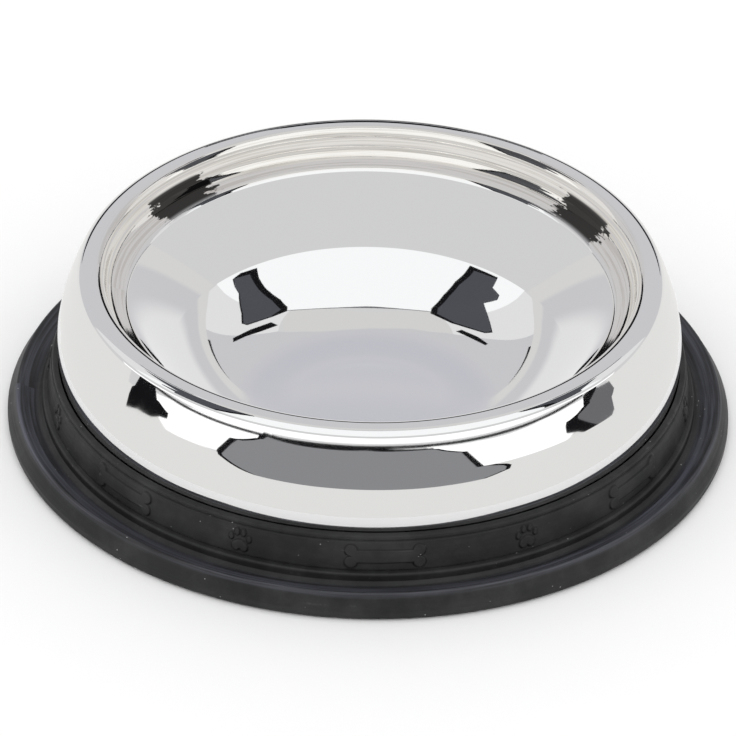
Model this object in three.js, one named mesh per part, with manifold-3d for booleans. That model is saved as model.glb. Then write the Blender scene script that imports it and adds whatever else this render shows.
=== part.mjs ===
import * as THREE from 'three';
import { mergeVertices } from 'three/addons/utils/BufferGeometryUtils.js';
import Module from 'manifold-3d';

// Stainless steel pet bowl standing in a moulded rubber ring.
// Millimetres, +Z up. The origin is on the floor, under the middle of the bowl.

// Steel bowl: one pressed sheet, from the pan over the rim and down to a hem
const sheetThickness = 0.8;
const rimDiameter = 154; // across the middle of the rounded rim
const rimRounding = 3.65; // outside of the rounded rim, in section
const standingHeight = 47.5; // floor to the top of the rim
const panClearance = 1; // floor to the underside of the pan
const coveWidth = 9.8; // rim middle to the crease below the rim
const coveDrop = 5.9;
const coveInset = 0.7; // how far the foot of the cove lies inside the rim
const coveRise = 1.9; // crease to the foot of the cove
const wallSpread = 23.8; // how far the pan wall leans out
const skirtTopWidth = 2.5; // rim middle to where the skirt would meet the rim's top
const shoulderWidth = 5.05; // rim middle to the shoulder
const shoulderDrop = 2.55;
const bellyTopWidth = 2.55; // shoulder to the upper line of the belly
const bellyTopDrop = 9.85; // rim middle to the upper line of the belly
const bellyWidth = 4.1; // shoulder to the fullest line of the belly
const bellyDrop = 18.4; // rim middle to the fullest line of the belly
const footDraw = 2.75; // how far the sheet draws in from the belly to its foot
const hemWidth = 1.6; // between the middles of the hem's two layers
const hemHeight = 3.4;

// Corner rounding of the steel, measured at the middle of the sheet
const floorRounding = 39.5; // the pan curves up from its floor like a basin
const creaseRounding = 2;
const coveRounding = 6;
const shoulderRounding = 20;
const bellyRounding = 24;
const hemRounding = 0.75;

// Rubber ring: a channel that holds the steel's foot, with a brim outside
const fitGap = 0.3; // between the rubber and the steel, all round
const ringBase = 3.3; // rubber under the steel's foot
const innerWallThickness = 2;
const innerWallHeight = 9;
const beadHeight = 18.9; // floor to the top of the ring
const beadWidth = 1.6;
const beadDrop = 1.6; // top of the bead to the line above the band
const bandTopWidth = 1.9; // from the steel to the face of the band, at its top
const bandFootHeight = 8.6;
const bandLean = 1; // how far the band's foot stands out from its top
const ledgeWidth = 1.5;
const ledgeHeight = 2.4;
const valleyWidth = 1.2; // ledge to the lowest line of the valley
const valleyHeight = 5.1;
const crestHeight = 7.4;
const brimWidth = 11.1; // from the band's foot to the lip
const lipSlope = 2.6; // crest to lip, measured level
const lipHeight = 2.8;
const recessDepth = 2.2; // hollow underside of the brim
const recessSlope = 0.9;
const footRibWidth = 3.4; // outer rib that stands on the floor
const heelRibWidth = 8.2; // inner rib, under the steel's foot
const lineDepth = 0.3; // fine moulded lines above and below the band

// Corner rounding of the rubber
const innerWallRounding = 0.7;
const beadRounding = 0.9;
const ledgeRounding = 0.8;
const valleyRounding = 1.5;
const crestRounding = 0.8;
const lipRounding = 1;
const lipFootRounding = 1.5;

// Raised bones and paw prints round the band
const embossHeight = 0.4;
const embossRoot = 1; // how deep a motif is rooted in the band
const motifPairs = 7;
const firstMotifAngle = -86.5; // degrees from +X, the bone nearest the front
const boneLength = 22;
const boneHeight = 7;
const shankHeight = 3.8;
const pawWidth = 6.2;
const pawHeight = 6.4;
const padWidth = 4.2;
const padHeight = 3.1;
const toeWidth = 1.3;
const toeHeight = 1.9;
const innerToeSpread = 0.9; // middle of the paw to the middle of an inner toe

// Smoothness: facets round the bowl, and on one rounded corner of an outline
const segments = 48;
const smallCornerFacets = 1;
const cornerFacets = 2;
const wideCornerFacets = 3;
const floorFacets = 7;
const knobFacets = 3; // to a quarter of a circle
const padFacets = 3;
const toeFacets = 2;
const mergeDistance = 1e-4; // points closer than this are one point

const rimRadius = rimDiameter / 2;
const rimBend = rimRounding - sheetThickness / 2;
const rimHeight = standingHeight - rimRounding;
const creaseRadius = rimRadius - coveWidth;
const creaseHeight = rimHeight - coveDrop;
const shoulderRadius = rimRadius + shoulderWidth;
const bellyRadius = shoulderRadius + bellyWidth;
const bellyHeight = rimHeight - bellyDrop;
const footRadius = bellyRadius - footDraw;
const footHeight = ringBase + fitGap + sheetThickness / 2;

// Radius of the steel's outer face at a height between the belly and the foot
function steelRadiusAt(height) {
  const share = (height - footHeight) / (bellyHeight - footHeight);
  const slant = Math.hypot(bellyHeight - footHeight, footDraw) / (bellyHeight - footHeight);
  return footRadius + share * footDraw + (sheetThickness / 2) * slant;
}

// One corner as facets: the arc that meets both sides, no longer than half of either
function roundedCorner(before, corner, after, rounding, facets) {
  const back = before.clone().sub(corner);
  const ahead = after.clone().sub(corner);
  const opening = Math.abs(Math.atan2(back.cross(ahead), back.dot(ahead)));
  const turn = Math.PI - opening;
  const reach = Math.min(rounding * Math.tan(turn / 2), back.length() / 2, ahead.length() / 2);
  const start = corner.clone().add(back.setLength(reach));
  const end = corner.clone().add(ahead.setLength(reach));
  const middle = start.clone().add(end).multiplyScalar(0.5);
  const inward = middle.clone().sub(corner);
  const radius = reach / Math.tan(turn / 2);
  const centre = corner.clone().add(inward.setLength(Math.hypot(radius, reach)));
  const from = start.clone().sub(centre);
  const sense = Math.sign(from.cross(end.clone().sub(centre)));
  const points = [];
  for (let i = 0; i <= facets; i += 1) {
    points.push(from.clone().rotateAround(new THREE.Vector2(), (sense * turn * i) / facets).add(centre));
  }
  return points;
}

// An outline through [radius, height, rounding, facets] corners, open or closed
function roundedOutline(corners, closed) {
  const places = corners.map(([radius, height]) => new THREE.Vector2(radius, height));
  const count = corners.length;
  const points = [];
  corners.forEach(([, , rounding = 0, facets = smallCornerFacets], i) => {
    const isEnd = !closed && (i === 0 || i === count - 1);
    if (isEnd || rounding === 0) {
      points.push(places[i]);
    } else {
      const before = places[(i + count - 1) % count];
      const after = places[(i + 1) % count];
      points.push(...roundedCorner(before, places[i], after, rounding, facets));
    }
  });
  return points;
}

// One face of the sheet: the middle line moved sideways, square to itself
function sheetFace(line, offset) {
  return line.map((point, i) => {
    const before = line[Math.max(i - 1, 0)];
    const after = line[Math.min(i + 1, line.length - 1)];
    const into = i > 0 ? point.clone().sub(before).normalize() : after.clone().sub(point).normalize();
    const out = i < line.length - 1 ? after.clone().sub(point).normalize() : into;
    const along = into.clone().add(out).normalize();
    const square = new THREE.Vector2(-along.y, along.x);
    return point.clone().addScaledVector(square, offset / along.dot(into));
  });
}

// Turned solid about +Z from an outline in radius and height
function turned(outline) {
  return new THREE.LatheGeometry(outline, segments).rotateX(Math.PI / 2);
}

const wasm = await Module();
wasm.setup();

function toManifold(geometry) {
  const bare = geometry.clone();
  bare.deleteAttribute('normal');
  bare.deleteAttribute('uv');
  const merged = mergeVertices(bare, mergeDistance);
  const vertProperties = new Float32Array(merged.attributes.position.array);
  const index = merged.index.array;
  const kept = [];
  for (let i = 0; i < index.length; i += 3) {
    const [a, b, c] = [index[i], index[i + 1], index[i + 2]];
    if (a !== b && b !== c && c !== a) {
      kept.push(a, b, c);
    }
  }
  const triVerts = new Uint32Array(kept);
  return new wasm.Manifold(new wasm.Mesh({ numProp: 3, vertProperties, triVerts }));
}

function toGeometry(manifold) {
  const mesh = manifold.getMesh();
  const geometry = new THREE.BufferGeometry();
  geometry.setAttribute('position', new THREE.BufferAttribute(mesh.vertProperties, 3));
  geometry.setIndex(new THREE.BufferAttribute(mesh.triVerts, 1));
  return geometry;
}

// The sheet: pan, cove, rounded rim, shoulder, belly and hem in one piece
function makeSteelBowl() {
  const panHeight = panClearance + sheetThickness / 2;
  const rimTop = rimHeight + rimBend;
  const rimInside = rimRadius - rimBend;
  const hemRadius = footRadius - hemWidth;
  const middle = roundedOutline([
    [0, panHeight],
    [creaseRadius - wallSpread, panHeight, floorRounding, floorFacets],
    [creaseRadius, creaseHeight, creaseRounding, cornerFacets],
    [rimInside - coveInset, creaseHeight + coveRise, coveRounding, cornerFacets],
    [rimInside, rimTop, rimBend, wideCornerFacets],
    [rimRadius + skirtTopWidth, rimTop, rimBend, wideCornerFacets],
    [shoulderRadius, rimHeight - shoulderDrop, shoulderRounding, cornerFacets],
    [shoulderRadius + bellyTopWidth, rimHeight - bellyTopDrop, bellyRounding, cornerFacets],
    [bellyRadius, bellyHeight, bellyRounding, cornerFacets],
    [footRadius, footHeight, hemRounding, cornerFacets],
    [hemRadius, footHeight, hemRounding, cornerFacets],
    [hemRadius, footHeight + hemHeight],
  ], false);
  const inner = sheetFace(middle, sheetThickness / 2);
  const outer = sheetFace(middle, -sheetThickness / 2);
  return turned([...outer, ...inner.reverse()]);
}

// Where the face of the band lies
function bandFace() {
  const topRadius = steelRadiusAt(beadHeight) + fitGap + bandTopWidth;
  return {
    topRadius,
    footRadius: topRadius + bandLean,
    topHeight: beadHeight - beadDrop - lineDepth,
    footHeight: bandFootHeight + lineDepth,
  };
}

// The ring without its motifs, its outline taken round from the bore
function makeRingBody() {
  const channelInside = footRadius - hemWidth - sheetThickness / 2 - fitGap;
  const bore = channelInside - innerWallThickness;
  const beadInside = steelRadiusAt(beadHeight) + fitGap;
  const beadOutside = beadInside + beadWidth;
  const band = bandFace();
  const ledge = band.footRadius + ledgeWidth;
  const lip = band.footRadius + brimWidth;
  const crest = lip - lipSlope;
  const outline = roundedOutline([
    [bore, 0],
    [bore + heelRibWidth, 0],
    [bore + heelRibWidth + recessSlope, recessDepth],
    [lip - footRibWidth - recessSlope, recessDepth],
    [lip - footRibWidth, 0],
    [lip, 0, lipFootRounding, cornerFacets],
    [lip, lipHeight, lipRounding],
    [crest, crestHeight, crestRounding, cornerFacets],
    [ledge + valleyWidth, valleyHeight, valleyRounding],
    [ledge, bandFootHeight - ledgeHeight],
    [ledge, bandFootHeight - lineDepth, ledgeRounding, cornerFacets],
    [band.footRadius - lineDepth, bandFootHeight],
    [band.footRadius, band.footHeight],
    [band.topRadius, band.topHeight],
    [beadOutside - lineDepth, band.topHeight + lineDepth],
    [beadOutside, band.topHeight + 2 * lineDepth],
    [beadOutside, beadHeight - lineDepth, beadRounding, cornerFacets],
    [beadInside, beadHeight],
    [steelRadiusAt(ringBase) + fitGap, ringBase],
    [channelInside, ringBase],
    [channelInside, innerWallHeight, innerWallRounding, cornerFacets],
    [bore, innerWallHeight, innerWallRounding, cornerFacets],
  ], true);
  return turned([...outline, outline[0]]);
}

// Bone outline: a shank with two round knobs at each end
function boneShape() {
  const knob = boneHeight / 4;
  const reach = boneLength / 2 - knob;
  const tuck = Math.acos((knob - shankHeight / 2) / knob);
  const shape = new THREE.Shape();
  shape.absarc(reach, -knob, knob, Math.PI / 2 + tuck, Math.PI / 2 + 2 * Math.PI, false);
  shape.absarc(reach, knob, knob, -Math.PI / 2, 1.5 * Math.PI - tuck, false);
  shape.absarc(-reach, knob, knob, tuck - Math.PI / 2, 1.5 * Math.PI, false);
  shape.absarc(-reach, -knob, knob, Math.PI / 2, 2.5 * Math.PI - tuck, false);
  return shape;
}

function ovalShape(x, y, halfWidth, halfHeight) {
  const shape = new THREE.Shape();
  shape.absellipse(x, y, halfWidth, halfHeight, 0, 2 * Math.PI, false);
  return shape;
}

// Paw outline: a broad pad and four toes in a fan
function pawShapes() {
  const outerToe = [pawWidth / 2 - toeWidth / 2, padHeight / 2];
  const innerToe = [innerToeSpread, pawHeight / 2 - toeHeight / 2];
  const toes = [outerToe, innerToe].flatMap(([x, y]) => [[x, y], [-x, y]]);
  return [
    [ovalShape(0, (padHeight - pawHeight) / 2, padWidth / 2, padHeight / 2), padFacets],
    ...toes.map(([x, y]) => [ovalShape(x, y, toeWidth / 2, toeHeight / 2), toeFacets]),
  ];
}

// A flat shape as a prism that stands out through the band at an angle round the ring
function motifPrism(shape, curveSegments, angle) {
  const band = bandFace();
  const root = band.topRadius - embossRoot;
  const start = Math.sqrt(root ** 2 - (boneLength / 2) ** 2) - embossRoot;
  const depth = band.footRadius + embossHeight + embossRoot - start;
  const prism = new THREE.ExtrudeGeometry(shape, { depth, curveSegments, bevelEnabled: false });
  const middle = (band.topHeight + band.footHeight) / 2;
  return prism.rotateX(Math.PI / 2).translate(0, -start, middle).rotateZ(angle + Math.PI / 2);
}

// A thin shell that follows the band and stands out from it by the height of the motifs
function makeMotifShell() {
  const band = bandFace();
  return turned([
    new THREE.Vector2(band.topRadius - embossRoot, band.topHeight),
    new THREE.Vector2(band.footRadius - embossRoot, band.footHeight),
    new THREE.Vector2(band.footRadius + embossHeight, band.footHeight),
    new THREE.Vector2(band.topRadius + embossHeight, band.topHeight),
    new THREE.Vector2(band.topRadius - embossRoot, band.topHeight),
  ]);
}

// The ring with a bone and a paw print in turn all the way round
function makeRubberRing() {
  const pitch = Math.PI / motifPairs;
  const first = THREE.MathUtils.degToRad(firstMotifAngle);
  const prisms = [];
  for (let i = 0; i < motifPairs; i += 1) {
    const boneAngle = first + 2 * i * pitch;
    prisms.push(motifPrism(boneShape(), knobFacets, boneAngle));
    prisms.push(...pawShapes().map(([shape, facets]) => motifPrism(shape, facets, boneAngle + pitch)));
  }
  const all = wasm.Manifold.union(prisms.map(toManifold));
  const raised = toManifold(makeMotifShell()).intersect(all);
  return toGeometry(toManifold(makeRingBody()).add(raised));
}

const steel = new THREE.MeshStandardMaterial({ color: 0xd9d9d7, roughness: 0.08, metalness: 1 });
const rubber = new THREE.MeshStandardMaterial({ color: 0x2f2f31, roughness: 0.6, metalness: 0 });

const bowl = new THREE.Mesh(makeSteelBowl(), steel);
bowl.name = 'steel_bowl';
const ring = new THREE.Mesh(makeRubberRing(), rubber);
ring.name = 'rubber_ring';

const model = new THREE.Group();
model.add(ring, bowl);

export default model;
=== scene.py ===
import math

import bmesh
import bpy
import numpy as np
from mathutils import Matrix, Vector


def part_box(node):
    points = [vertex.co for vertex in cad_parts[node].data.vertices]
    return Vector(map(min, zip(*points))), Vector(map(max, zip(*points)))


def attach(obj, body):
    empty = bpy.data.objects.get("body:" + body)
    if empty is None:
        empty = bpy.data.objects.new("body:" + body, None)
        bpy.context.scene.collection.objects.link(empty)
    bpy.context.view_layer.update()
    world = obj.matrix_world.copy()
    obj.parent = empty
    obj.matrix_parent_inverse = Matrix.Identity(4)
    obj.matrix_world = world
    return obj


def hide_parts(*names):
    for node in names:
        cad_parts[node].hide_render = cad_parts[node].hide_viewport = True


# Stainless steel pet bowl standing in a moulded rubber ring.
# Metres, +Z up, origin on the floor under the middle of the bowl.
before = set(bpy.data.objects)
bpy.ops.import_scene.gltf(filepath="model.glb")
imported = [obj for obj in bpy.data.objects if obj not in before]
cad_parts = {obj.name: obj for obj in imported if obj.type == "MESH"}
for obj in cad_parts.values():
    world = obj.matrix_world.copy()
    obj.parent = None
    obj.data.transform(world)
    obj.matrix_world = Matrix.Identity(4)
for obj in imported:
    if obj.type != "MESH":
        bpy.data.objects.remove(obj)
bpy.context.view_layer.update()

MM = 0.001
FLOOR = 0.0
BOWL_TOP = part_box("steel_bowl")[1].z
BOWL_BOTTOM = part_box("steel_bowl")[0].z
RING_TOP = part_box("rubber_ring")[1].z
RING_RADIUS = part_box("rubber_ring")[1].x

# Steel sheet, the sizes of the part
SHEET = 0.8 * MM
RIM_RADIUS = 77 * MM
RIM_ROUNDING = 3.65 * MM
RIM_BEND = RIM_ROUNDING - SHEET / 2
RIM_HEIGHT = BOWL_TOP - RIM_ROUNDING
CREASE_RADIUS = RIM_RADIUS - 9.8 * MM
CREASE_HEIGHT = RIM_HEIGHT - 5.9 * MM
PAN_RADIUS = CREASE_RADIUS - 23.8 * MM
PAN_HEIGHT = BOWL_BOTTOM + SHEET / 2
PAN_FILLET = 39.5 * MM
COVE_INSET = 0.7 * MM
COVE_RISE = 1.9 * MM
SKIRT_TOP_WIDTH = 2.5 * MM
SHOULDER_RADIUS = RIM_RADIUS + 5.05 * MM
SHOULDER_DROP = 2.55 * MM
BELLY_TOP_WIDTH = 2.55 * MM
BELLY_TOP_DROP = 9.85 * MM
BELLY_RADIUS = SHOULDER_RADIUS + 4.1 * MM
BELLY_HEIGHT = RIM_HEIGHT - 18.4 * MM
FOOT_RADIUS = BELLY_RADIUS - 2.75 * MM
FOOT_HEIGHT = 4 * MM
HEM_WIDTH = 1.6 * MM
HEM_HEIGHT = 3.4 * MM
CREASE_ROUNDING = 2 * MM
COVE_ROUNDING = 6 * MM
SHOULDER_ROUNDING = 20 * MM
BELLY_ROUNDING = 24 * MM
HEM_ROUNDING = 0.75 * MM

# Rubber ring
FIT_GAP = 0.3 * MM
CHANNEL_FLOOR = 3.3 * MM
INNER_WALL = 2 * MM
INNER_WALL_HEIGHT = 9 * MM
HEEL_RIB = 8.2 * MM
RECESS_DEPTH = 2.2 * MM
RECESS_SLOPE = 0.9 * MM
FOOT_RIB = 3.4 * MM
LIP_HEIGHT = 2.8 * MM
LIP_SLOPE = 2.6 * MM
CREST_HEIGHT = 7.4 * MM
VALLEY_HEIGHT = 5.1 * MM
VALLEY_WIDTH = 1.2 * MM
LEDGE_WIDTH = 1.5 * MM
LEDGE_HEIGHT = 2.4 * MM
BAND_FOOT = 8.6 * MM
BAND_LEAN = 1 * MM
BEAD_WIDTH = 1.6 * MM
BEAD_DROP = 1.6 * MM
BAND_TOP_WIDTH = 1.9 * MM
GROOVE = 0.3 * MM
LIP_FOOT_ROUNDING = 1.5 * MM
LIP_ROUNDING = 1 * MM
CREST_ROUNDING = 0.8 * MM
VALLEY_ROUNDING = 1.5 * MM
LEDGE_ROUNDING = 0.8 * MM
BEAD_ROUNDING = 0.9 * MM
INNER_WALL_ROUNDING = 0.7 * MM

# Raised bones and paw prints
MOTIF_PAIRS = 7
FIRST_MOTIF = math.radians(-86.5)
EMBOSS = 0.5 * MM
EMBOSS_EDGE = 0.45 * MM
BONE_LENGTH = 22 * MM
BONE_HEIGHT = 7 * MM
SHANK_HEIGHT = 3.8 * MM
PAW_WIDTH = 6.6 * MM
PAW_HEIGHT = 6.8 * MM
MOTIF_MARGIN = 0.6 * MM

# Ovals of half a paw print, as shares of its width and height: place across and up, half width, half height
PAW_LOBE = (0.17, -0.26, 0.19, 0.22)
PAW_HEEL = (0, -0.16, 0.25, 0.2)
PAW_OUTER_TOE = (0.39, 0.11, 0.11, 0.16)
PAW_INNER_TOE = (0.14, 0.35, 0.11, 0.17)

# Dark reflections painted into the cove's colour, with jagged edges, where the photograph shows dark
# reflections.
# Each has the angle of its middle and its half width, in radians.
COVE_PAINTED_REFLECTIONS = ((2.44, 0.14), (0.58, 0.13))
PAINTED_REFLECTION_JAG = 0.3
PAINTED_REFLECTION_EDGE = 0.02

# The satin middle of the pan fades out between these radii and heights
SATIN_RADII = (37 * MM, 31 * MM)
SATIN_HEIGHTS = (6 * MM, 4 * MM)

# Noise drawn out round the axis: how fine it is across, per metre, and round, per radian
STEEL_TURNING = (1400.0, 1.3)
# The next noise jags the edges of the painted dark reflections in the cove
PAINTED_REFLECTION_TURNING = (500.0, 9.0)
RUBBER_TURNING = (900.0, 2.0)

# Colours of the steel and the rubber
STEEL = (0.850, 0.850, 0.848)
STEEL_COVE = (0.866, 0.842, 0.800)
STEEL_SATIN = (0.775, 0.777, 0.815)
COVE_STREAK = (0.66, 0.63, 0.575)
# Colour of the painted dark reflections in the cove
PAINTED_DARK_REFLECTION = (0.05, 0.048, 0.045)
RUBBER_BLACK = (0.011, 0.011, 0.0113)
RUBBER_GREY = (0.027, 0.027, 0.0275)
# Painted bluish sheen on the brim
RUBBER_PAINTED_SHEEN = (0.088, 0.091, 0.116)
# Painted shade on the flanks of the raised motifs
MOTIF_PAINTED_SHADE = (0.002, 0.002, 0.002)
SCUFF = (0.16, 0.16, 0.165)
DUST = (0.42, 0.42, 0.42)

# Camera: where the middle of the rim stands in the photograph, and how large its radius is there
IMAGE_SIZE = 736
RIM_MIDDLE_PIXEL = (370.8, 279.4)
RIM_RADIUS_PIXELS = 280.4
VIEW_ELEVATION = math.radians(32.7)
VIEW_ROLL = math.radians(1.2)
VIEW_DISTANCE = 25 * RIM_RADIUS

# Studio: a leaning screen round the front, and a dome round everything.
# Arches on the screen fall away from their crown by so many mm per square degree.
SCREEN_FOOT = 235 * MM
SCREEN_TOP = 150 * MM
SCREEN_HEIGHT = 64 * MM
ARCH_FALL = 0.0026
DOME_MIDDLE = 30 * MM
CARD_COLUMNS = 60
CARD_ROWS = 4
CARD_TURNS = 120
FLOOR_HALF = 3.0
FLOOR_TONE = 0.9
FLOOR_ROUGHNESS = 0.9

# How far out the cards on the dome stand, in metres, so that the right ones hide the others
CROWN_DISTANCE = 6.3
SIDE_DISTANCE = 6.2
FRONT_DISTANCE = 6.0
LINE_DISTANCE = 5.9
BACK_DISTANCE = 5.8
EDGE_DISTANCE = 5.5
SLIVER_DISTANCE = 5.4
DARK_DISTANCE = 5.3
SHAPE_DISTANCE = 4.5

# Front panel, in degrees: the stretch of wall that mirrors it, its foot above that line, and its crown
WALL_SIDE = 52
WALL_MARGIN = 2.2
CROWN_AHEAD = 4
CROWN_REACH = 26
CROWN_LINE = 1.5

# Veil just inside the pan: heights between which its tone changes
VEIL_GAP = 0.5 * MM
VEIL_LOW_HEIGHTS = (19 * MM, 27 * MM)
VEIL_TOP_HEIGHTS = (35 * MM, 38 * MM)

# Tones of the studio
SKY_LIGHT = 1.12
SKY_SEEN = (0.73, 0.73, 0.735)
BRIGHT = (1.3, 1.3, 1.3)
WHITE = (1.09, 1.10, 1.11)
PALE = (0.86, 0.86, 0.87)
FLOOR_SEEN = (0.86, 0.855, 0.84)
VEIL_LOW = (0.86, 0.86, 0.865)
VEIL_TOP = (0.76, 0.755, 0.745)
BEIGE = (0.74, 0.735, 0.73)
LAVENDER = (0.66, 0.66, 0.685)
GREY = (0.285, 0.287, 0.30)
SLATE = (0.165, 0.165, 0.175)
DARK = (0.083, 0.087, 0.10)
BLACK = (0.008, 0.008, 0.009)

# Fineness of the meshes
ARC_STEP = math.radians(5)
FLAT_STEP = 1.6 * MM
EDGE_STEP = 0.12 * MM
BAND_STEP = 0.22 * MM
MOTIF_STEP = 0.24 * MM
TURNS = 360
SAME_PLACE = 1e-7
SLACK = 1e-6


def make_camera():
    """Looks down at the bowl from the front, rolled a little, as the photograph does."""
    focal = RIM_RADIUS_PIXELS * VIEW_DISTANCE / RIM_RADIUS
    rim = Vector((0, 0, RIM_HEIGHT))
    back = Vector((0, -math.cos(VIEW_ELEVATION), math.sin(VIEW_ELEVATION)))
    level = Vector((1, 0, 0))
    upright = back.cross(level)
    right = level * math.cos(VIEW_ROLL) + upright * math.sin(VIEW_ROLL)
    up = upright * math.cos(VIEW_ROLL) - level * math.sin(VIEW_ROLL)
    across = (RIM_MIDDLE_PIXEL[0] - IMAGE_SIZE / 2) / focal
    above = (IMAGE_SIZE / 2 - RIM_MIDDLE_PIXEL[1]) / focal
    ahead = (-back - right * across - up * above).normalized()
    right = (right - ahead * right.dot(ahead)).normalized()
    up = right.cross(ahead)
    data = bpy.data.cameras.new("camera")
    data.sensor_width = 36
    data.lens = focal / IMAGE_SIZE * data.sensor_width
    data.clip_start, data.clip_end = 0.05, 20
    camera = bpy.data.objects.new("camera", data)
    turn = Matrix((right, up, -ahead)).transposed().to_4x4()
    camera.matrix_world = Matrix.Translation(rim + back * VIEW_DISTANCE) @ turn
    bpy.context.scene.collection.objects.link(camera)
    bpy.context.scene.camera = camera


def rounded_corner(before, corner, after, rounding):
    """The arc that meets both sides of a corner, as points."""
    back, ahead = before - corner, after - corner
    back_length, ahead_length = np.hypot(*back), np.hypot(*ahead)
    opening = abs(math.atan2(back[0] * ahead[1] - back[1] * ahead[0], float(back @ ahead)))
    turn = math.pi - opening
    reach = min(rounding * math.tan(turn / 2), back_length / 2, ahead_length / 2)
    start = corner + back / back_length * reach
    end = corner + ahead / ahead_length * reach
    radius = reach / math.tan(turn / 2)
    inward = (start + end) / 2 - corner
    centre = corner + inward / np.hypot(*inward) * math.hypot(radius, reach)
    arm, last = start - centre, end - centre
    sense = np.sign(arm[0] * last[1] - arm[1] * last[0])
    count = max(2, math.ceil(turn / ARC_STEP))
    angles = sense * turn * np.arange(count + 1) / count
    cos, sin = np.cos(angles), np.sin(angles)
    return np.stack([arm[0] * cos - arm[1] * sin, arm[0] * sin + arm[1] * cos], 1) + centre


def rounded_outline(corners, closed):
    """An outline through (radius, height, rounding) corners, with points along its straight stretches."""
    places = [np.array(c[:2], float) for c in corners]
    points = []
    for i, corner in enumerate(corners):
        rounding = corner[2] if len(corner) > 2 else 0
        if rounding == 0 or (not closed and i in (0, len(corners) - 1)):
            points.append(places[i][None])
        else:
            points.append(rounded_corner(places[i - 1], places[i], places[(i + 1) % len(places)], rounding))
    if closed:
        points.append(points[0][:1])
    outline = [points[0]]
    for arc in points[1:]:
        start, end = outline[-1][-1], arc[0]
        length = np.hypot(*(end - start))
        if length > 3 * EDGE_STEP:
            inner = np.linspace(EDGE_STEP, length - EDGE_STEP, max(2, math.ceil(length / FLAT_STEP)))
            outline.append(start + (end - start) * (inner / length)[:, None])
        outline.append(arc)
    outline = np.concatenate(outline)
    kept = np.concatenate([[True], np.hypot(*np.diff(outline, axis=0).T) > SAME_PLACE])
    outline = outline[kept]
    return outline[:-1] if closed else outline


def sheet_face(line, offset):
    """One face of the sheet: its middle line moved sideways, square to itself."""
    step = np.diff(line, axis=0)
    step /= np.hypot(*step.T)[:, None]
    into = np.concatenate([step[:1], step])
    out = np.concatenate([step, step[-1:]])
    along = into + out
    along /= np.hypot(*along.T)[:, None]
    square = np.stack([-along[:, 1], along[:, 0]], 1)
    return line + square * (offset / (along * into).sum(1))[:, None]


def lathe(name, outline, angles, closed, lift=None):
    """A turned mesh. lift gives how far each point stands out from the outline, level."""
    rows, turns = len(outline), len(angles)
    radius = np.repeat(outline[:, 0:1], turns, 1)
    height = np.repeat(outline[:, 1:2], turns, 1)
    if lift is not None:
        radius = radius + lift(radius, height, angles[None, :])
    points = np.stack([radius * np.cos(angles), radius * np.sin(angles), height], -1).reshape(-1, 3)
    faces = []
    last = rows if closed else rows - 1
    for i in range(last):
        here, there = i * turns, ((i + 1) % rows) * turns
        for j in range(turns):
            k = (j + 1) % turns
            faces.append((here + j, here + k, there + k, there + j))
    mesh = bpy.data.meshes.new(name)
    mesh.from_pydata(points.tolist(), [], faces)
    mesh.validate()
    obj = bpy.data.objects.new(name, mesh)
    bpy.context.scene.collection.objects.link(obj)
    finish_mesh(mesh)
    return obj


def finish_mesh(mesh):
    """Joins the points on the axis, makes the faces look outward and shades them smooth."""
    work = bmesh.new()
    work.from_mesh(mesh)
    bmesh.ops.remove_doubles(work, verts=work.verts, dist=SAME_PLACE)
    bmesh.ops.recalc_face_normals(work, faces=work.faces)
    for face in work.faces:
        face.smooth = True
    work.to_mesh(mesh)
    work.free()


def steel_outline():
    """Middle line of the sheet: pan, cove, rounded rim, shoulder, belly and hem."""
    rim_top = RIM_HEIGHT + RIM_BEND
    rim_inside = RIM_RADIUS - RIM_BEND
    hem = FOOT_RADIUS - HEM_WIDTH
    return rounded_outline([
        (0, PAN_HEIGHT),
        (PAN_RADIUS, PAN_HEIGHT, PAN_FILLET),
        (CREASE_RADIUS, CREASE_HEIGHT, CREASE_ROUNDING),
        (rim_inside - COVE_INSET, CREASE_HEIGHT + COVE_RISE, COVE_ROUNDING),
        (rim_inside, rim_top, RIM_BEND),
        (RIM_RADIUS + SKIRT_TOP_WIDTH, rim_top, RIM_BEND),
        (SHOULDER_RADIUS, RIM_HEIGHT - SHOULDER_DROP, SHOULDER_ROUNDING),
        (SHOULDER_RADIUS + BELLY_TOP_WIDTH, RIM_HEIGHT - BELLY_TOP_DROP, BELLY_ROUNDING),
        (BELLY_RADIUS, BELLY_HEIGHT, BELLY_ROUNDING),
        (FOOT_RADIUS, FOOT_HEIGHT, HEM_ROUNDING),
        (hem, FOOT_HEIGHT, HEM_ROUNDING),
        (hem, FOOT_HEIGHT + HEM_HEIGHT),
    ], closed=False)


def make_steel_bowl():
    middle = steel_outline()
    outer = sheet_face(middle, -SHEET / 2)
    inner = sheet_face(middle, SHEET / 2)
    outer[0, 0] = inner[0, 0] = 0
    outline = np.concatenate([outer, inner[::-1]])
    angles = np.linspace(0, 2 * math.pi, TURNS, endpoint=False)
    return lathe("steel_bowl_finish", outline, angles, closed=False)


def steel_radius_at(height):
    """Radius of the steel's outer face at a height between the belly and the foot."""
    rise = BELLY_HEIGHT - FOOT_HEIGHT
    draw = BELLY_RADIUS - FOOT_RADIUS
    return FOOT_RADIUS + (height - FOOT_HEIGHT) / rise * draw + SHEET / 2 * math.hypot(rise, draw) / rise


BAND_TOP_RADIUS = steel_radius_at(RING_TOP) + FIT_GAP + BAND_TOP_WIDTH
BAND_FOOT_RADIUS = BAND_TOP_RADIUS + BAND_LEAN
BAND_TOP_Z = RING_TOP - BEAD_DROP - GROOVE
BAND_FOOT_Z = BAND_FOOT + GROOVE


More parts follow.
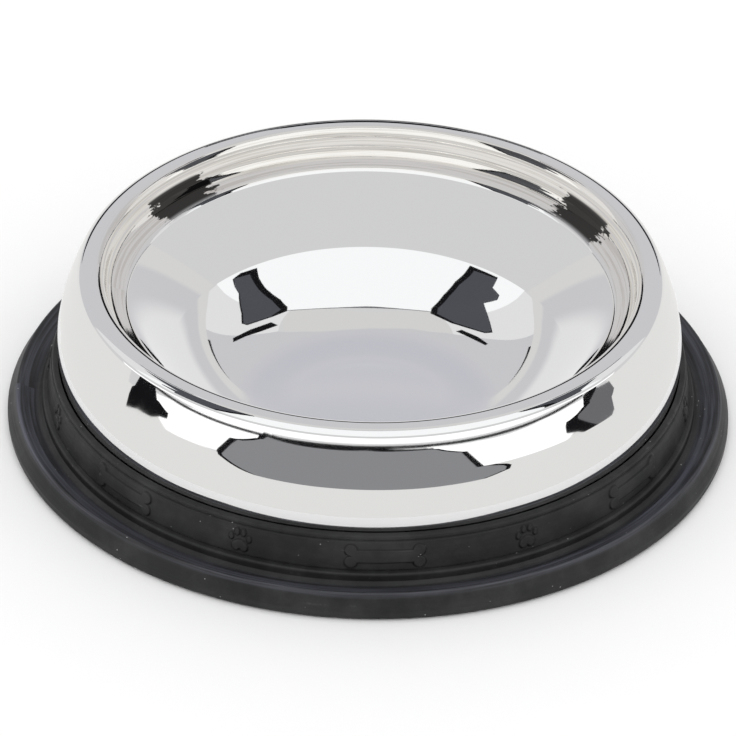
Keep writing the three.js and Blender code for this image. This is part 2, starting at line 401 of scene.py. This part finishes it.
def ring_outline():
    """Outline of the ring, taken round from the bore, under the brim, over the band and down the channel."""
    channel_inside = FOOT_RADIUS - HEM_WIDTH - SHEET / 2 - FIT_GAP
    bore = channel_inside - INNER_WALL
    bead_inside = steel_radius_at(RING_TOP) + FIT_GAP
    bead_outside = bead_inside + BEAD_WIDTH
    ledge = BAND_FOOT_RADIUS + LEDGE_WIDTH
    lip = RING_RADIUS
    crest = lip - LIP_SLOPE
    return rounded_outline([
        (bore, FLOOR),
        (bore + HEEL_RIB, FLOOR),
        (bore + HEEL_RIB + RECESS_SLOPE, RECESS_DEPTH),
        (lip - FOOT_RIB - RECESS_SLOPE, RECESS_DEPTH),
        (lip - FOOT_RIB, FLOOR),
        (lip, FLOOR, LIP_FOOT_ROUNDING),
        (lip, LIP_HEIGHT, LIP_ROUNDING),
        (crest, CREST_HEIGHT, CREST_ROUNDING),
        (ledge + VALLEY_WIDTH, VALLEY_HEIGHT, VALLEY_ROUNDING),
        (ledge, BAND_FOOT - LEDGE_HEIGHT),
        (ledge, BAND_FOOT - GROOVE, LEDGE_ROUNDING),
        (BAND_FOOT_RADIUS - GROOVE, BAND_FOOT),
        (BAND_FOOT_RADIUS, BAND_FOOT_Z),
        (BAND_TOP_RADIUS, BAND_TOP_Z),
        (bead_outside - GROOVE, BAND_TOP_Z + GROOVE),
        (bead_outside, BAND_TOP_Z + 2 * GROOVE),
        (bead_outside, RING_TOP - GROOVE, BEAD_ROUNDING),
        (bead_inside, RING_TOP),
        (steel_radius_at(CHANNEL_FLOOR) + FIT_GAP, CHANNEL_FLOOR),
        (channel_inside, CHANNEL_FLOOR),
        (channel_inside, INNER_WALL_HEIGHT, INNER_WALL_ROUNDING),
        (bore, INNER_WALL_HEIGHT, INNER_WALL_ROUNDING),
    ], closed=True)


def refine_band(outline):
    """Adds rows across the face of the band, close enough together to carry the motifs."""
    rows = []
    for here, there in zip(outline, np.roll(outline, -1, axis=0)):
        rows.append(here[None])
        low, high = sorted((here[1], there[1]))
        on_band = low >= BAND_FOOT_Z - SLACK and high <= BAND_TOP_Z + SLACK
        length = np.hypot(*(there - here))
        if on_band and here[0] > BAND_TOP_RADIUS - GROOVE / 2 and length > BAND_STEP:
            share = np.arange(1, math.ceil(length / BAND_STEP)) / math.ceil(length / BAND_STEP)
            rows.append(here + (there - here) * share[:, None])
    return np.concatenate(rows)


def oval_distance(x, y, half_width, half_height):
    """Rough distance outside an oval, negative inside."""
    return (np.hypot(x / half_width, y / half_height) - 1) * min(half_width, half_height)


def bone_distance(x, y):
    """Distance outside the outline of a bone: a shank with two round knobs at each end."""
    knob = BONE_HEIGHT / 4
    reach = BONE_LENGTH / 2 - knob
    knobs = np.hypot(abs(x) - reach, abs(y) - knob) - knob
    shank = np.maximum(abs(x) - reach, abs(y) - SHANK_HEIGHT / 2)
    return np.minimum(knobs, shank)


def paw_distance(x, y):
    """Distance outside a paw print: a broad pad with two lobes below, and four toes in a fan."""
    ovals = [oval_distance(abs(x) - across * PAW_WIDTH, y - up * PAW_HEIGHT,
                           half * PAW_WIDTH, tall * PAW_HEIGHT)
             for across, up, half, tall in (PAW_LOBE, PAW_HEEL, PAW_OUTER_TOE, PAW_INNER_TOE)]
    return np.minimum.reduce(ovals)


def band_lift(radius, height, angle):
    """How far the band stands out at a point: the motifs, with rounded edges."""
    middle = (BAND_TOP_Z + BAND_FOOT_Z) / 2
    pitch = 2 * math.pi / MOTIF_PAIRS
    on_band = (height > BAND_FOOT_Z + GROOVE) & (height < BAND_TOP_Z - GROOVE / 2)
    on_band &= radius > BAND_TOP_RADIUS - GROOVE / 2
    distance = np.full(np.broadcast(radius, height, angle).shape, 1.0)
    for shape, first in ((bone_distance, FIRST_MOTIF), (paw_distance, FIRST_MOTIF + pitch / 2)):
        turned = (angle - first + pitch / 2) % pitch - pitch / 2
        along = turned * BAND_FOOT_RADIUS + 0 * radius
        distance = np.minimum(distance, shape(along, height - middle))
    share = np.clip(0.5 - distance / EMBOSS_EDGE, 0, 1)
    return np.where(on_band, EMBOSS * share * share * (3 - 2 * share), 0)


def motif_angles():
    """Angles round the ring: close together where a motif stands, wider between them."""
    fine = MOTIF_STEP / BAND_FOOT_RADIUS
    coarse = 2 * math.pi / TURNS
    pitch = math.pi / MOTIF_PAIRS
    halves = [(length / 2 + MOTIF_MARGIN) / BAND_FOOT_RADIUS for length in (BONE_LENGTH, PAW_WIDTH)]
    angles = []
    for i in range(2 * MOTIF_PAIRS):
        middle = FIRST_MOTIF + i * pitch
        half, following = halves[i % 2], halves[(i + 1) % 2]
        angles.append(np.linspace(middle - half, middle + half, math.ceil(2 * half / fine)))
        start, end = middle + half, middle + pitch - following
        angles.append(np.linspace(start, end, math.ceil((end - start) / coarse) + 1)[1:-1])
    return np.concatenate(angles)


def make_rubber_ring():
    outline = refine_band(ring_outline())
    return lathe("rubber_ring_finish", outline, motif_angles(), closed=True, lift=band_lift)


class Nodes:
    """Short calls for building a material's nodes."""

    def __init__(self, name):
        self.material = bpy.data.materials.new(name)
        self.material.use_nodes = True
        self.tree = self.material.node_tree
        self.shader = self.tree.nodes["Principled BSDF"]

    def put(self, socket, value):
        if isinstance(value, bpy.types.NodeSocket):
            self.tree.links.new(value, socket)
        else:
            socket.default_value = value

    def math(self, operation, *values):
        node = self.tree.nodes.new("ShaderNodeMath")
        node.operation = operation
        for socket, value in zip(node.inputs, values):
            self.put(socket, value)
        return node.outputs[0]

    def mix(self, share, first, second):
        """Mixes two colours."""
        node = self.tree.nodes.new("ShaderNodeMix")
        node.data_type = "RGBA"
        self.put(node.inputs[0], share)
        self.put(node.inputs[6], (*first, 1) if isinstance(first, tuple) else first)
        self.put(node.inputs[7], (*second, 1) if isinstance(second, tuple) else second)
        return node.outputs[2]

    def ramp(self, value, start, end, low=0.0, high=1.0):
        """Goes smoothly from low to high while the value goes from start to end."""
        node = self.tree.nodes.new("ShaderNodeMapRange")
        node.interpolation_type = "SMOOTHSTEP"
        for socket, given in zip(node.inputs, (value, start, end, low, high)):
            self.put(socket, given)
        return node.outputs[0]

    def places(self):
        """Object coordinates in metres, with the radius and the angle about the bowl's axis."""
        place = self.tree.nodes.new("ShaderNodeTexCoord").outputs["Object"]
        split = self.tree.nodes.new("ShaderNodeSeparateXYZ")
        self.put(split.inputs[0], place)
        x, y, z = split.outputs
        radius = self.math("SQRT", self.math("ADD", self.math("MULTIPLY", x, x), self.math("MULTIPLY", y, y)))
        return place, radius, z, self.math("ARCTAN2", y, x)

    def vector(self, x, y, z):
        node = self.tree.nodes.new("ShaderNodeCombineXYZ")
        for socket, value in zip(node.inputs, (x, y, z)):
            self.put(socket, value)
        return node.outputs[0]

    def turned(self, turning, radius, height, angle):
        """Coordinates that draw a noise out round the axis, like the marks of turning."""
        across, round_axis = turning
        return self.vector(self.math("MULTIPLY", radius, across), self.math("MULTIPLY", height, across),
                           self.math("MULTIPLY", angle, round_axis))

    def noise(self, place, scale, detail=2.0, roughness=0.5):
        node = self.tree.nodes.new("ShaderNodeTexNoise")
        self.put(node.inputs["Vector"], place)
        node.inputs["Scale"].default_value = scale
        node.inputs["Detail"].default_value = detail
        node.inputs["Roughness"].default_value = roughness
        return node.outputs[0]

    def specks(self, place, scale, size):
        """Small round specks, each in its own cell: 1 inside, 0 outside."""
        node = self.tree.nodes.new("ShaderNodeTexVoronoi")
        self.put(node.inputs["Vector"], place)
        node.inputs["Scale"].default_value = scale
        return self.ramp(node.outputs["Distance"], size, size * 0.6)

    def bump(self, height, distance):
        node = self.tree.nodes.new("ShaderNodeBump")
        self.put(node.inputs["Height"], height)
        node.inputs["Distance"].default_value = distance
        self.put(self.shader.inputs["Normal"], node.outputs[0])


def steel_material():
    """Polished stainless steel: mirror walls, satin floor, turning lines and painted dark reflections in the
    cove, smudges.
    """
    m = Nodes("polished_steel")
    place, radius, height, angle = m.places()
    on_floor = m.math("MULTIPLY", m.ramp(radius, *SATIN_RADII), m.ramp(height, *SATIN_HEIGHTS))
    in_cove = m.math("MULTIPLY", m.ramp(radius, CREASE_RADIUS - 1 * MM, CREASE_RADIUS + 1 * MM),
                     m.ramp(radius, RIM_RADIUS - 1 * MM, RIM_RADIUS - 3 * MM))
    turning = m.noise(m.turned(STEEL_TURNING, radius, height, angle), 1.0, 4.0, 0.6)
    smudge = m.ramp(m.noise(place, 38.0, 4.0, 0.62), 0.52, 0.72)
    streaks = m.math("MULTIPLY", m.ramp(turning, 0.48, 0.6), 0.7)
    # Painted dark reflections: two jagged dark patches in the cove, below the rim
    jag = m.noise(m.turned(PAINTED_REFLECTION_TURNING, radius, height, angle), 1.0, 3.0, 0.7)
    shifted = m.math("ADD", angle, m.math("MULTIPLY", m.math("SUBTRACT", jag, 0.5), PAINTED_REFLECTION_JAG))
    painted_reflections = [m.ramp(m.math("ABSOLUTE", m.math("SUBTRACT", shifted, middle)), half + PAINTED_REFLECTION_EDGE, half)
              for middle, half in COVE_PAINTED_REFLECTIONS]
    painted_reflection_share = m.math("MULTIPLY", m.math("MAXIMUM", *painted_reflections), m.ramp(height, RIM_HEIGHT, RIM_HEIGHT - 1 * MM))
    cove = m.mix(painted_reflection_share, m.mix(streaks, STEEL_COVE, COVE_STREAK), PAINTED_DARK_REFLECTION)
    m.put(m.shader.inputs["Base Color"], m.mix(on_floor, m.mix(in_cove, STEEL, cove), STEEL_SATIN))
    m.shader.inputs["Metallic"].default_value = 1
    polish = m.math("ADD", m.math("MULTIPLY", smudge, 0.02), m.math("MULTIPLY", in_cove, 0.03))
    satin = m.math("MULTIPLY", on_floor, 0.14)
    m.put(m.shader.inputs["Roughness"], m.math("ADD", m.math("ADD", polish, 0.03), satin))
    ripple = m.math("MULTIPLY", m.noise(place, 26.0, 1.0), 0.35)
    lines = m.math("MULTIPLY", turning, m.math("ADD", m.math("MULTIPLY", in_cove, 0.12), 0.002))
    m.bump(m.math("ADD", lines, ripple), 0.1 * MM)
    return m.material


def rubber_material():
    """Matt black rubber with dust, scuffs, turning marks, a painted bluish sheen on the brim and painted
    shade on the flanks of the motifs.
    """
    m = Nodes("moulded_rubber")
    place, radius, height, angle = m.places()
    marks = m.noise(m.turned(RUBBER_TURNING, radius, height, angle), 1.0, 3.0, 0.6)
    cloud = m.noise(place, 55.0, 5.0, 0.65)
    grain = m.noise(place, 1500.0, 2.0, 0.6)
    # Where the painted bluish sheen lies: the brim between the band and the lip
    brim_sheen_mask = m.math("MULTIPLY", m.ramp(radius, BAND_FOOT_RADIUS + 2 * MM, BAND_FOOT_RADIUS + 5 * MM),
                     m.ramp(radius, RING_RADIUS - 1.6 * MM, RING_RADIUS - LIP_SLOPE))
    band_share = m.math("DIVIDE", m.math("SUBTRACT", BAND_TOP_Z, height), BAND_TOP_Z - BAND_FOOT_Z)
    band_radius = m.math("ADD", m.math("MULTIPLY", band_share, BAND_LEAN), BAND_TOP_RADIUS)
    on_band = m.math("MULTIPLY", m.ramp(height, BAND_FOOT_Z, BAND_FOOT_Z + GROOVE),
                     m.ramp(height, BAND_TOP_Z, BAND_TOP_Z - GROOVE))
    stand = m.math("SUBTRACT", radius, band_radius)
    # Painted shade: the sloping flanks of the raised bones and paws are darkened
    shaded_flank = m.math("MULTIPLY", m.ramp(stand, 0.0, EMBOSS * 0.2), m.ramp(stand, EMBOSS * 0.95, EMBOSS * 0.7))
    outline = m.math("MULTIPLY", on_band, shaded_flank)
    body = m.mix(m.ramp(cloud, 0.35, 0.7), RUBBER_BLACK, RUBBER_GREY)
    # Painted bluish sheen over the brim, streaked by the turning marks
    body = m.mix(m.math("MULTIPLY", brim_sheen_mask, m.ramp(marks, 0.3, 0.75)), body, RUBBER_PAINTED_SHEEN)
    body = m.mix(m.math("MULTIPLY", outline, 0.8), body, MOTIF_PAINTED_SHADE)
    scuff = m.math("MULTIPLY", m.ramp(marks, 0.6, 0.72), m.ramp(cloud, 0.55, 0.68))
    body = m.mix(m.math("MULTIPLY", scuff, 0.5), body, SCUFF)
    dust = m.math("MULTIPLY", m.specks(place, 420.0, 0.075), m.ramp(m.noise(place, 90.0, 2.0), 0.5, 0.62))
    m.put(m.shader.inputs["Base Color"], m.mix(dust, body, DUST))
    m.put(m.shader.inputs["Roughness"], m.ramp(marks, 0.2, 0.8, 0.42, 0.6))
    m.shader.inputs["Specular IOR Level"].default_value = 0.3
    surface = m.math("ADD", m.math("MULTIPLY", grain, 0.25), m.math("MULTIPLY", marks, 0.5))
    m.bump(m.math("ADD", surface, m.math("MULTIPLY", cloud, 0.6)), 0.08 * MM)
    return m.material


def glow_material(name, colour):
    material = bpy.data.materials.new(name)
    material.use_nodes = True
    nodes = material.node_tree.nodes
    nodes.remove(nodes["Principled BSDF"])
    glow = nodes.new("ShaderNodeEmission")
    glow.inputs["Color"].default_value = (*colour, 1)
    material.node_tree.links.new(glow.outputs[0], nodes["Material Output"].inputs["Surface"])
    return material


def make_card(name, points, material):
    """A curved card. points is a grid of places in metres."""
    rows, columns = len(points), len(points[0])
    faces = [(i * columns + j, i * columns + j + 1, (i + 1) * columns + j + 1, (i + 1) * columns + j)
             for i in range(rows - 1) for j in range(columns - 1)]
    place_card(name, [place for row in points for place in row], faces, material)


def place_card(name, places, faces, material):
    """A studio card that only reflections show."""
    mesh = bpy.data.meshes.new(name)
    mesh.from_pydata(places, [], faces)
    mesh.materials.append(material)
    card = bpy.data.objects.new(name, mesh)
    bpy.context.scene.collection.objects.link(card)
    card.visible_camera = False
    card.visible_diffuse = False
    card.visible_shadow = False
    card.visible_transmission = False


def card_grid(columns, place):
    """Points of a card. columns are (angle, bottom, top); place gives the place at an angle and a height."""
    angles, bottoms, tops = zip(*columns)
    points = []
    for k in range(CARD_ROWS + 1):
        row = []
        for angle in np.linspace(angles[0], angles[-1], CARD_COLUMNS + 1):
            bottom, top = np.interp(angle, angles, bottoms), np.interp(angle, angles, tops)
            row.append(place(angle, bottom + (top - bottom) * k / CARD_ROWS))
        points.append(row)
    return points


def near_card(name, columns, colour, behind=0.0):
    """A card on the leaning screen round the front. columns are (angle, bottom, top), heights in mm."""
    def place(angle, height):
        turn, rise = math.radians(angle), height * MM
        reach = SCREEN_FOOT + (SCREEN_TOP - SCREEN_FOOT) * rise / SCREEN_HEIGHT + behind * MM
        return reach * math.sin(turn), -reach * math.cos(turn), rise

    make_card(name, card_grid(columns, place), glow_material(name, colour))


def ring_card(name, azimuths, reaches, heights, colour):
    """A card bent round the bowl's axis, from one azimuth, reach and height to another. Sizes in mm."""
    points = [[(reach * math.sin(turn) * MM, -reach * math.cos(turn) * MM, height * MM)
               for turn in np.radians(np.linspace(*azimuths, CARD_TURNS))]
              for reach, height in zip(reaches, heights)]
    make_card(name, points, glow_material(name, colour))


def veil_material():
    """Glows on the side that faces the middle of the pan, and is clear from the steel's side."""
    m = Nodes("pan_veil")
    glow = m.tree.nodes.new("ShaderNodeEmission")
    clear = m.tree.nodes.new("ShaderNodeBsdfTransparent")
    facing = m.tree.nodes.new("ShaderNodeNewGeometry").outputs["Backfacing"]
    choice = m.tree.nodes.new("ShaderNodeMixShader")
    height = m.places()[2]
    wall = m.mix(m.ramp(height, *VEIL_LOW_HEIGHTS), VEIL_LOW, LAVENDER)
    m.put(glow.inputs["Color"], m.mix(m.ramp(height, *VEIL_TOP_HEIGHTS), wall, VEIL_TOP))
    m.put(choice.inputs[0], facing)
    m.tree.links.new(glow.outputs[0], choice.inputs[1])
    m.tree.links.new(clear.outputs[0], choice.inputs[2])
    m.tree.links.new(choice.outputs[0], m.tree.nodes["Material Output"].inputs["Surface"])
    return m.material


def make_veil():
    """A soft tone just inside the pan, up to the rim, in place of the pan's second reflections of itself."""
    face = sheet_face(steel_outline(), SHEET / 2 + VEIL_GAP)
    rim = next(i for i, place in enumerate(face) if place[0] > RIM_RADIUS - 1 * MM)
    turns = np.radians(np.linspace(180, -180, CARD_TURNS))
    points = [[(reach * math.sin(turn), -reach * math.cos(turn), height) for turn in turns]
              for reach, height in face[:rim]]
    make_card("pan_veil", points, veil_material())


def arched(start, end, crown, thickness):
    """Columns of a thin near card that drops away from its crown on both sides. Heights in mm."""
    return [(angle, crown - ARCH_FALL * angle * angle - thickness, crown - ARCH_FALL * angle * angle)
            for angle in np.linspace(start, end, CARD_COLUMNS + 1)]


def far_place(azimuth, elevation, distance):
    turn, rise = math.radians(azimuth), math.radians(elevation)
    level = distance * math.cos(rise)
    return level * math.sin(turn), -level * math.cos(turn), DOME_MIDDLE + distance * math.sin(rise)


def far_card(name, columns, colour, distance):
    """A card on the dome. columns are (azimuth, bottom, top); azimuth 0 is the camera's side."""
    points = card_grid(columns, lambda azimuth, elevation: far_place(azimuth, elevation, distance))
    make_card(name, points, glow_material(name, colour))


def far_patch(name, outline, colour, distance):
    """A flat patch on the dome with the given outline of (azimuth, elevation)."""
    points = [far_place(azimuth, elevation, distance) for azimuth, elevation in outline]
    place_card(name, points, [tuple(range(len(points)))], glow_material(name, colour))


def wall_line(side):
    """Azimuth and elevation that the pan's straight wall mirrors to the camera.

    side is how many degrees beside the wall's back the place lies that mirrors it.
    """
    lean = math.atan2(CREASE_RADIUS - PAN_RADIUS, CREASE_HEIGHT - PAN_HEIGHT)
    turn = math.radians(side)
    square = Vector((-math.sin(turn) * math.cos(lean), -math.cos(turn) * math.cos(lean), math.sin(lean)))
    view = Vector((0, math.cos(VIEW_ELEVATION), -math.sin(VIEW_ELEVATION)))
    mirrored = view - 2 * view.dot(square) * square
    return math.degrees(math.atan2(mirrored.x, -mirrored.y)), math.degrees(math.asin(mirrored.z))


def crown_elevation(azimuth):
    """Upper edge of the front panel: an arc that passes just in front of the zenith."""
    ahead, beside = math.cos(math.radians(azimuth)), math.sin(math.radians(azimuth))
    bend = 2 * CROWN_AHEAD * beside / CROWN_REACH
    return 90 - 2 * CROWN_AHEAD / (ahead + math.hypot(ahead, bend))


def make_tent():
    """Pale walls and dark lines of a photographer's tent, and the floor as the steel shows it."""
    wall = sorted(wall_line(side) for side in range(-WALL_SIDE, WALL_SIDE + 1, 2))
    white = [(azimuth, elevation + WALL_MARGIN, crown_elevation(azimuth)) for azimuth, elevation in wall]
    line = [(azimuth, top - CROWN_LINE, top) for azimuth, _, top in white]
    far_card("front_panel", white, WHITE, FRONT_DISTANCE)
    far_card("crown_line", line, SLATE, LINE_DISTANCE)
    far_card("left_side", [(-138, 3, 58), (-84, 21.5, 68)], PALE, SIDE_DISTANCE)
    far_card("right_side", [(84, 21.5, 62), (138, 3, 56)], PALE, SIDE_DISTANCE)
    far_card("back_dark", [(148, 9, 10), (156, 6, 15), (168, 5, 19), (180, 5, 20), (192, 5, 19), (204, 6, 15),
                           (212, 9, 10)], BLACK, DARK_DISTANCE)
    far_card("crown", [(80, 60, 89.9), (280, 60, 89.9)], BEIGE, CROWN_DISTANCE)
    far_card("back_sky", [(121, 0, 45), (122, 0, 57), (134, 0, 65), (160, 0, 72), (180, 0, 74.5),
                          (205, 0, 74), (219, 0, 72), (234, 0, 63), (239, 0, 54), (240, 0, 45)],
             LAVENDER, BACK_DISTANCE)
    ring_card("floor_seen", (-180, 180), (115, 2900), (0.5, 0.5), FLOOR_SEEN)
    ring_card("back_line", (150, 210), (98, 98), (57, 61), BLACK)


def make_dark_shapes():
    """Two dark shapes at the sides of the dome, each with a black edge and a black sliver behind it."""
    far_patch("left_shape_edge", [(-60, 30), (-78, 25), (-80, 31), (-87, 31), (-89, 34), (-87, 42),
                                  (-91, 43), (-114, 44), (-115, 48), (-107, 62), (-90, 69), (-79, 67),
                                  (-65, 56), (-60, 44)], BLACK, EDGE_DISTANCE)
    far_patch("left_shape", [(-64, 31), (-78, 26), (-80, 31), (-87, 31), (-89, 34), (-87, 42), (-91, 43),
                             (-113, 44.5), (-114, 48), (-106, 60.5), (-91, 66.5), (-81, 64.5), (-69, 54.5),
                             (-64, 44)], DARK, SHAPE_DISTANCE)
    far_patch("left_sliver", [(-125, 46), (-127, 47), (-122, 56), (-119, 60), (-115, 58), (-120, 51)],
              BLACK, SLIVER_DISTANCE)
    far_patch("right_shape_edge", [(70, 28), (73, 33), (76, 41), (80, 53), (87, 59), (93, 60), (102, 55),
                                   (112, 44), (111, 41), (103, 39), (96, 35), (90, 31), (88, 26), (86, 23),
                                   (80, 24)], BLACK, EDGE_DISTANCE)
    far_patch("right_shape", [(76, 28), (80, 39), (84, 50), (92, 57), (102, 54), (111, 44), (111, 42),
                              (103, 40), (96, 36), (90, 32), (88, 26), (85, 23.5)], DARK, SHAPE_DISTANCE)
    far_patch("right_sliver", [(126, 37), (123, 37), (116, 46), (109, 55), (114, 58), (119, 51), (122, 44)],
              BLACK, SLIVER_DISTANCE)


def make_front():
    """The grey lens that the skirt shows, white panels and dark gaps beside it, and fine lines on the rim."""
    grey = [(-40.5, 30, 37), (-38, 20, 41), (-35, 10, 44.5), (-31, 0.5, 52), (-28, 0.5, 58.5), (0, 0.5, 60),
            (17.5, 0.5, 58.5), (20, 0.5, 54), (26, 0.5, 45), (33, 0.5, 36), (38, 12, 28), (39.5, 14, 22)]
    edge = [(-42, 29, 37.5), (-39, 17, 42), (-36, 7, 46), (-32, 0.5, 53), (-29, 0.5, 59.3), (0, 0.5, 60.8),
            (18.3, 0.5, 59.3), (21, 0.5, 54.3), (27, 0.5, 45.6), (34.2, 0.5, 36.8), (39.3, 11, 29),
            (41, 13, 23)]
    near_card("front_gap", grey, GREY)
    near_card("front_gap_edge", edge, BLACK, behind=0.5)
    near_card("left_panel", [(-68, 31, 47), (-60, 30, 51), (-50, 34, 55), (-40, 38, 57.5), (-26, 40, 60)],
              BRIGHT, behind=1)
    near_card("right_panel", [(16, 40, 60), (30, 38, 58), (40, 34, 56), (50, 32, 54), (60, 30, 51),
                              (70, 30, 47)], BRIGHT, behind=1)
    near_card("left_gap", [(-77, 19, 23), (-75, 21, 37), (-72, 24, 48), (-66, 28, 50), (-63, 31, 47),
                           (-60, 33, 35)], BLACK)
    near_card("right_gap", [(64, 32, 37), (68, 27, 46), (72, 22, 46), (78, 18, 42), (79.5, 18, 38)], SLATE)
    near_card("right_gap_edge", [(59, 32, 34), (63, 29, 40), (66, 26, 49), (72, 22, 48)], BLACK, behind=0.5)
    near_card("rim_line", arched(-70, 66, 61.1, 0.6), BLACK, behind=0.8)
    near_card("rim_glint", arched(-80, 80, 70, 8.4), BRIGHT, behind=1.2)


def make_stage():
    """A plain pale floor, and a pale surround that lights everything softly."""
    floor_material = Nodes("pale_floor")
    floor_material.shader.inputs["Base Color"].default_value = (FLOOR_TONE, FLOOR_TONE, FLOOR_TONE, 1)
    floor_material.shader.inputs["Roughness"].default_value = FLOOR_ROUGHNESS
    mesh = bpy.data.meshes.new("floor")
    half = FLOOR_HALF
    corners = [(-half, -half, 0), (half, -half, 0), (half, half, 0), (-half, half, 0)]
    mesh.from_pydata(corners, [], [(0, 1, 2, 3)])
    mesh.materials.append(floor_material.material)
    floor = bpy.data.objects.new("floor", mesh)
    bpy.context.scene.collection.objects.link(floor)
    world = bpy.data.worlds.new("surround")
    world.use_nodes = True
    tree = world.node_tree
    tree.nodes["Background"].inputs["Strength"].default_value = SKY_LIGHT
    seen = tree.nodes.new("ShaderNodeBackground")
    seen.inputs["Color"].default_value = (*SKY_SEEN, 1)
    path = tree.nodes.new("ShaderNodeLightPath")
    choice = tree.nodes.new("ShaderNodeMixShader")
    tree.nodes["Background"].inputs["Color"].default_value = (1, 1, 1, 1)
    tree.links.new(path.outputs["Is Glossy Ray"], choice.inputs[0])
    tree.links.new(tree.nodes["Background"].outputs[0], choice.inputs[1])
    tree.links.new(seen.outputs[0], choice.inputs[2])
    tree.links.new(choice.outputs[0], tree.nodes["World Output"].inputs["Surface"])
    bpy.context.scene.world = world
    bpy.context.scene.view_settings.view_transform = "Standard"


make_camera()
make_stage()
make_tent()
make_dark_shapes()
make_veil()
make_front()

bowl = make_steel_bowl()
bowl.data.materials.append(steel_material())
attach(bowl, "bowl")
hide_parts("steel_bowl")

ring = make_rubber_ring()
ring.data.materials.append(rubber_material())
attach(ring, "ring")
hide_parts("rubber_ring")
